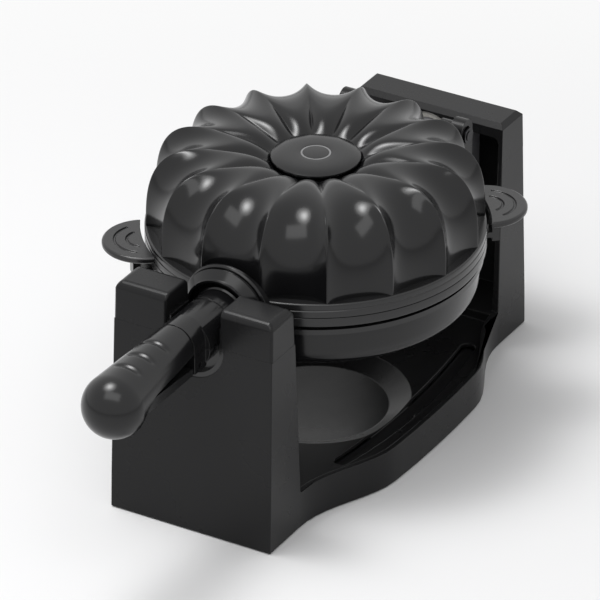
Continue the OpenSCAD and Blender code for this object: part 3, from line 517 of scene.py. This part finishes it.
class WAFFLE_OT_cap(bpy.types.Operator):
    """Round cap and a plain inlaid ring, turned; the cap falls by the sixth power of the radius."""

    bl_idname = "waffle.cap"
    bl_label = "Cap and inlaid ring"

    def execute(self, context):
        edge_r, flat_r, fall = 26.2, 13.0, 2.0
        spigot_r, spigot_foot, disc_foot = 23.1, 46.2, 50.6
        groove_in, groove_out, groove_foot, gap = 7.7, 9.0, 53.5, 0.05
        domed = [(r, CAP_TOP - fall * (r / edge_r) ** 6, 0) for r in np.linspace(edge_r, flat_r, 12)]
        cap = turned("cap_disc", [
            (0, spigot_foot, 0), (spigot_r, spigot_foot, 0.5), (spigot_r, disc_foot, 0.2),
            (25.9, disc_foot, 0.3), (26.4, 51.2, 0.4), *domed,
            (groove_out, CAP_TOP, 0.1), (groove_out, groove_foot, 0), (groove_in, groove_foot, 0),
            (groove_in, CAP_TOP, 0.1), (0, CAP_TOP, 0)])
        place_piece(cap, "lid", "gloss_black", gloss_black(), "top_cap")
        foot, top = groove_foot - 0.1, CAP_TOP - 0.1
        inlay = turned("cap_inlay", [
            (groove_in + gap, foot, 0), (groove_out - gap, foot, 0),
            (groove_out - gap, top, 0.15), (groove_in + gap, top, 0.15)])
        place_piece(inlay, "lid", "bright_sheet", dull_steel(), "ring_inlay")
        return {"FINISHED"}


class WAFFLE_OT_bands(bpy.types.Operator):
    """Upper and lower bands and the lower shell with its quarter-circle bend, turned with rounded edges."""

    bl_idname = "waffle.bands"
    bl_label = "Bands and lower shell"

    def execute(self, context):
        half_gap, plate_rim, groove_r = 0.15, 3.3, RIM_R - 0.4
        upper = turned("band_upper", [
            (SEAT_R, half_gap, 0), (RIM_R, half_gap, 0.5), (RIM_R, 4.2, 0.25), (groove_r, 4.6, 0.2),
            (groove_r, 5.1, 0.2), (RIM_R, 5.4, 0.3), (RIM_R, BAND_TOP, 1.4), (LEDGE_R, BAND_TOP, 0),
            (LEDGE_R, plate_rim, 0), (SEAT_R, plate_rim, 0)], segments=256)
        place_piece(upper, "lid", "satin_black", band_black(), "upper_band")
        skirt_in, skirt_out = 91.0, 93.6
        lower = turned("band_lower", [
            (SEAT_R, -half_gap, 0), (RIM_R, -half_gap, 0.5), (RIM_R, BAND_FOOT, 1.1),
            (skirt_out, BAND_FOOT, 0), (skirt_out, SHELL_TOP, 0), (skirt_in, SHELL_TOP, 0),
            (skirt_in, BAND_FOOT, 0), (LEDGE_R, BAND_FOOT, 0), (LEDGE_R, -plate_rim, 0),
            (SEAT_R, -plate_rim, 0)], segments=256)
        place_piece(lower, "lower_half", "satin_black", band_black(), "lower_band")
        shell_r, wall, bend_r, bend_middle_r = 97.3, 1.8, 14.0, 82.0

        def bend(radius, start, stop, count):
            angles = np.radians(np.linspace(start, stop, count))
            return [(bend_middle_r + radius * math.cos(a), SHELL_FOOT + bend_r - radius * math.sin(a), 0)
                    for a in angles]

        shell = turned("shell_lower", [
            (shell_r - wall, SHELL_TOP, 0.3), (shell_r, SHELL_TOP, 0.5), *bend(bend_r, 0, 90, 13),
            (0, SHELL_FOOT, 0), (0, SHELL_FOOT + wall, 0), *bend(bend_r - wall, 90, 0, 9)], segments=256)
        place_piece(shell, "lower_half", "gloss_black", gloss_black(), "lower_shell")
        return {"FINISHED"}


# The grip in mm from the head's middle: place and radius of its root, height of its ball's middle, way from
# one to the other, and how much smaller its first circle is
ROOT_Y, ROOT_Z, ROOT_R = -159.0, 4.2, 13.1
BALL_Z = -2.3
GRIP_LENGTH = 64.4
ROOT_BEVEL = 0.5

# Grooves across the top of the grip, in mm: their places, depth and width along it, then the middle, half width
# and fade across it
GROOVES_Y = (-181.0, -196.5, -211.0)
GROOVE_DEPTH = 1.1
GROOVE_WIDTH = 1.5
GROOVE_X, GROOVE_REACH, GROOVE_FADE = 1.0, 7.5, 0.7

# Scoop under the grip: its height, the radius of its end and where that end begins and stops, in mm. Then the
# blend in square mm, the sine of the circle above which nothing is lifted, and a height below the whole grip.
SCOOP_Z, SCOOP_R = 1.5, 20.0
SCOOP_BEND_Y, SCOOP_STOP_Y = -204.0, -223.8
SCOOP_BLEND = 0.6
SCOOP_SINE = 0.6
NO_SCOOP = -40.0


class WAFFLE_OT_grip(bpy.types.Operator):
    """Grip: circles that grow along a drooping line into a ball, lifted underneath to a scoop.

    Where the circle's sine is under SCOOP_SINE, the height is the smooth maximum of the circle's z and the
    scoop's c: (z + c + sqrt((z - c)^2 + SCOOP_BLEND)) / 2. Three short grooves press the top in by a bell
    curve along the grip, fading out across it.
    """

    bl_idname = "waffle.grip"
    bl_label = "Grip with ball end"

    def execute(self, context):
        ball = context.scene.waffle_sizes.grip_ball / MM
        share = np.linspace(0, 1, 90)
        end = np.radians(np.linspace(0, 90, 40)[1:])
        y = np.concatenate([ROOT_Y - GRIP_LENGTH * share, ROOT_Y - GRIP_LENGTH - ball * np.sin(end)])
        middle = np.concatenate([ROOT_Z + (BALL_Z - ROOT_Z) * share, np.full(end.size, BALL_Z)])
        radius = np.concatenate([ROOT_R + (ball - ROOT_R) * share, ball * np.cos(end)])
        radius[0] -= ROOT_BEVEL
        points_around = 128
        around = np.radians(np.arange(points_around) * 360 / points_around)
        x = radius[:, None] * np.cos(around)
        z = middle[:, None] + radius[:, None] * np.sin(around)
        dent = sum(np.exp(-((y - at) / GROOVE_WIDTH) ** 2) for at in GROOVES_Y)[:, None]
        across = 1 / (1 + np.exp((np.abs(x - GROOVE_X) - GROOVE_REACH) / GROOVE_FADE))
        z = z - GROOVE_DEPTH * dent * across * (np.sin(around) > 0)
        drop = np.clip(SCOOP_BEND_Y - y, 0, SCOOP_R - 0.1)
        scoop = (SCOOP_Z - SCOOP_R + np.sqrt(SCOOP_R ** 2 - drop ** 2))[:, None]
        scoop = np.where(y[:, None] < SCOOP_STOP_Y, NO_SCOOP, scoop)
        lifted = (z + scoop + np.sqrt((z - scoop) ** 2 + SCOOP_BLEND)) / 2
        z = np.where(np.sin(around)[None, :] < SCOOP_SINE, lifted, z)
        sections = np.stack([x, np.broadcast_to(y[:, None], x.shape), z], -1) * MM + HEAD
        piece = carried("ball_grip", sections, smooth_angle=50)
        place_piece(piece, "lid", "gloss_black", grip_black(), "upper_grip")
        return {"FINISHED"}


# The base

# Heights in mm of edges that stay fine: the seam under the three caps, and the top of the tower's opening
FINE_HEIGHTS = (124.0, 140.0)

# Angle in degrees that keeps the gentle slopes of the tray smooth and its ledges sharp
BASE_ANGLE = 18


class WAFFLE_OT_base(bpy.types.Operator):
    """Base mouldings: copies of the solids with rounded edges, finer ones on the shell with its tray."""

    bl_idname = "waffle.base"
    bl_label = "Base mouldings"

    def execute(self, context):
        width = context.scene.waffle_sizes.edge_round
        for node, share, clamp in (
                ("base_shell", 0.32, False),
                ("front_cap_left", 1.0, True),
                ("front_cap_right", 1.0, True),
                ("tower_cap", 1.0, True)):
            moulding = softened(
                node, width * share, segments=3, angle=BASE_ANGLE, fine=FINE_HEIGHTS, clamp=clamp)
            place_piece(moulding, "base", "satin_black", satin_black(), node)
        return {"FINISHED"}


class WAFFLE_OT_small_parts(bpy.types.Operator):
    """Hinge, collar, neck, ring, tabs, lever, saddle and hub: copies with edges rounded by a width in mm."""

    bl_idname = "waffle.small_parts"
    bl_label = "Hinge, collar, neck and tabs"

    def execute(self, context):
        for node, width, slot, material in (
                ("collar_upper", 0.4, "gloss_black", gloss_black()),
                ("collar_lower", 0.4, "gloss_black", gloss_black()),
                ("neck_upper", 0.4, "gloss_black", gloss_black()),
                ("neck_lower", 0.4, "gloss_black", gloss_black()),
                ("lever", 1.0, "satin_black", band_black()),
                ("front_saddle", 0.5, "bearing_plastic", band_black()),
                ("hinge_bracket", 0.8, "satin_black", satin_black()),
                ("lid_arms", 0.6, "satin_black", satin_black()),
                ("release_ring", 0.5, "satin_black", band_black()),
                ("thumb_tabs", 0.8, "satin_black", band_black()),
                ("rear_hub", 0.5, "dark_plastic", dark_plastic())):
            body = frame["nodes"][node]["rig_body"]
            place_piece(softened(node, width * MM), body, slot, material, node)
        return {"FINISHED"}


class WAFFLE_OT_finishes(bpy.types.Operator):
    """Finishes for all the solids, of which those that no piece stands for are shown."""

    bl_idname = "waffle.finishes"
    bl_label = "Finishes of the other parts"

    def execute(self, context):
        finishes = {
            "satin_black": satin_black, "gloss_black": gloss_black, "dark_plastic": dark_plastic,
            "bearing_plastic": dark_plastic, "pale_nylon": pale_nylon, "foot_rubber": foot_rubber,
            "plated_steel": plated_steel, "element_steel": element_steel, "bright_sheet": bright_sheet,
            "coated_plate": coated_plate}
        blackened = ("hinge_pin", "hinge_clips", "lever_pin")
        slots = {part["node"]: part["material_slot"] for part in frame["record"]["subparts"]}
        for name, node in frame["nodes"].items():
            node.data.materials.clear()
            node.data.materials.append(blackened_steel() if name in blackened else finishes[slots[name]]())
        return {"FINISHED"}


# The stage

# The photo's camera: angles in degrees, distance in metres, focal length and centre in pixels of the frame
CAMERA = {
    "azimuth": 29.986, "elevation": 30.767, "distance": 3.61903, "focal": 6086.33,
    "centre": (315.653, 419.731)}
FRAME_PIXELS = 600
SENSOR_MM = 36
VIEW_END = 50

# Lamps: place in metres, shape, size in metres, power in watts
LAMPS = (
    ("key_core", (-0.41, -0.17, 1.55), "ELLIPSE", (0.3, 0.3), 1.9),
    ("key_ring", (-0.412, -0.171, 1.555), "ELLIPSE", (0.55, 0.55), 4.4),
    ("key_rim", (-0.414, -0.172, 1.56), "ELLIPSE", (0.9, 0.9), 7.0),
    ("front_box", (0.2, -0.85, 1.45), "RECTANGLE", (1.4, 0.7), 5.5))
LAMP_TARGET = (0, 0.04, 0.1)

# Strength of the white surroundings as light, and as the camera or a reflection sees them
SKY_LIGHT, SKY_SEEN = 0.5, 1.0

# The floor: half its side, where its fade to white begins and ends, in metres, and that white
FLOOR_REACH = 6.0
FADE_START, FADE_END = 0.2, 0.8
FADE_WHITE = 0.98


def aim(thing, direction):
    """Turns an object so that its -Z looks along a direction, with its top up."""
    back = -Vector(direction).normalized()
    side = Vector((0, 0, 1)).cross(back).normalized()
    thing.rotation_euler = Matrix((side, back.cross(side), back)).transposed().to_euler()


class WAFFLE_OT_stage(bpy.types.Operator):
    """Pale floor, soft lamps and a camera at the photo's angle."""

    bl_idname = "waffle.stage"
    bl_label = "Studio stage"

    def execute(self, context):
        self.add_floor(context)
        self.add_lamps(context)
        self.add_surroundings(context)
        self.add_camera(context)
        return {"FINISHED"}

    def add_floor(self, context):
        """A wide level floor that fades to white for the camera away from the object."""
        mesh = bpy.data.meshes.new("studio_floor")
        corners = [(FLOOR_REACH * x, FLOOR_REACH * y, 0) for x, y in ((-1, -1), (1, -1), (1, 1), (-1, 1))]
        mesh.from_pydata(corners, [], [(0, 1, 2, 3)])
        floor = bpy.data.objects.new("studio_floor", mesh)
        context.scene.collection.objects.link(floor)
        material = bpy.data.materials.new("studio_floor")
        material.use_nodes = True
        tree = material.node_tree
        shader = tree.nodes["Principled BSDF"]
        shader.inputs["Base Color"].default_value = (*context.scene.waffle_colours.floor_grey, 1)
        shader.inputs["Roughness"].default_value = 0.9
        shader.inputs["Specular IOR Level"].default_value = 0.1
        self.fade_to_white(tree, shader)
        mesh.materials.append(material)

    def fade_to_white(self, tree, shader):
        """Mixes the floor into plain white with the distance from the object, for the camera alone."""
        place = tree.nodes.new("ShaderNodeTexCoord")
        reach = tree.nodes.new("ShaderNodeVectorMath")
        reach.operation = "LENGTH"
        fade = tree.nodes.new("ShaderNodeMapRange")
        fade.interpolation_type = "SMOOTHSTEP"
        fade.inputs["From Min"].default_value = FADE_START
        fade.inputs["From Max"].default_value = FADE_END
        rays = tree.nodes.new("ShaderNodeLightPath")
        share = tree.nodes.new("ShaderNodeMath")
        share.operation = "MULTIPLY"
        white = tree.nodes.new("ShaderNodeEmission")
        white.inputs["Color"].default_value = (1, 1, 1, 1)
        white.inputs["Strength"].default_value = FADE_WHITE
        mixed = tree.nodes.new("ShaderNodeMixShader")
        tree.links.new(place.outputs["Object"], reach.inputs[0])
        tree.links.new(reach.outputs["Value"], fade.inputs["Value"])
        tree.links.new(fade.outputs["Result"], share.inputs[0])
        tree.links.new(rays.outputs["Is Camera Ray"], share.inputs[1])
        tree.links.new(share.outputs["Value"], mixed.inputs["Fac"])
        tree.links.new(shader.outputs["BSDF"], mixed.inputs[1])
        tree.links.new(white.outputs["Emission"], mixed.inputs[2])
        tree.links.new(mixed.outputs["Shader"], tree.nodes["Material Output"].inputs["Surface"])

    def add_lamps(self, context):
        """A round key overhead made of three discs, so that it fades to its rim, and a soft box in front."""
        for name, place, shape, size, power in LAMPS:
            lamp = bpy.data.lights.new(name, "AREA")
            lamp.shape = shape
            lamp.size, lamp.size_y = size
            lamp.energy = power
            holder = bpy.data.objects.new(name, lamp)
            holder.location = place
            aim(holder, Vector(LAMP_TARGET) - Vector(place))
            context.scene.collection.objects.link(holder)

    def add_surroundings(self, context):
        """White all round, brighter to the camera and in reflections than as light on the object."""
        world = bpy.data.worlds.new("studio_world")
        context.scene.world = world
        world.use_nodes = True
        tree = world.node_tree
        back = tree.nodes["Background"]
        back.inputs["Color"].default_value = (1, 1, 1, 1)
        rays = tree.nodes.new("ShaderNodeLightPath")
        seen = tree.nodes.new("ShaderNodeMath")
        seen.operation = "MAXIMUM"
        tree.links.new(rays.outputs["Is Camera Ray"], seen.inputs[0])
        tree.links.new(rays.outputs["Is Glossy Ray"], seen.inputs[1])
        strength = tree.nodes.new("ShaderNodeMapRange")
        strength.inputs["To Min"].default_value = SKY_LIGHT
        strength.inputs["To Max"].default_value = SKY_SEEN
        tree.links.new(seen.outputs["Value"], strength.inputs["Value"])
        tree.links.new(strength.outputs["Result"], back.inputs["Strength"])

    def add_camera(self, context):
        """Camera at the fitted place, turned to the middle of the frame, without shift."""
        a, e = math.radians(CAMERA["azimuth"]), math.radians(CAMERA["elevation"])
        right = Vector((math.cos(a), math.sin(a), 0))
        look = Vector((-math.sin(a) * math.cos(e), math.cos(a) * math.cos(e), -math.sin(e)))
        up = right.cross(look)
        middle = FRAME_PIXELS / 2
        focal = CAMERA["focal"]
        cx, cy = CAMERA["centre"]
        view = bpy.data.cameras.new("photo_camera")
        view.sensor_width = SENSOR_MM
        view.lens = focal / FRAME_PIXELS * SENSOR_MM
        view.clip_end = VIEW_END
        camera = bpy.data.objects.new("photo_camera", view)
        camera.location = Vector((HEAD[0], HEAD[1], 0)) - look * CAMERA["distance"]
        aim(camera, look + right * (middle - cx) / focal + up * (cy - middle) / focal)
        context.scene.collection.objects.link(camera)
        context.scene.camera = camera
        context.scene.view_settings.view_transform = "Standard"


class WAFFLE_PT_panel(bpy.types.Panel):
    """Sizes, colours and pieces of the waffle maker."""

    bl_label = "Waffle maker"
    bl_idname = "WAFFLE_PT_panel"
    bl_space_type = "VIEW_3D"
    bl_region_type = "UI"
    bl_category = "Waffle maker"

    def draw(self, context):
        for group in (context.scene.waffle_sizes, context.scene.waffle_colours):
            for name in group.__annotations__:
                self.layout.prop(group, name)
        for operator in OPERATORS:
            self.layout.operator(operator.bl_idname)


OPERATORS = (
    WAFFLE_OT_dome, WAFFLE_OT_cap, WAFFLE_OT_bands, WAFFLE_OT_grip, WAFFLE_OT_base, WAFFLE_OT_small_parts,
    WAFFLE_OT_finishes, WAFFLE_OT_stage)
CLASSES = (WaffleSizes, WaffleColours, *OPERATORS, WAFFLE_PT_panel)


def register():
    for item in CLASSES:
        bpy.utils.register_class(item)
    bpy.types.Scene.waffle_sizes = PointerProperty(type=WaffleSizes)
    bpy.types.Scene.waffle_colours = PointerProperty(type=WaffleColours)


def unregister():
    del bpy.types.Scene.waffle_sizes
    del bpy.types.Scene.waffle_colours
    for item in reversed(CLASSES):
        bpy.utils.unregister_class(item)


def main():
    """Registers the add-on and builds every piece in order."""
    register()
    for operator in OPERATORS:
        group, name = operator.bl_idname.split(".")
        getattr(getattr(bpy.ops, group), name)()


if __name__ == "__main__":
    main()
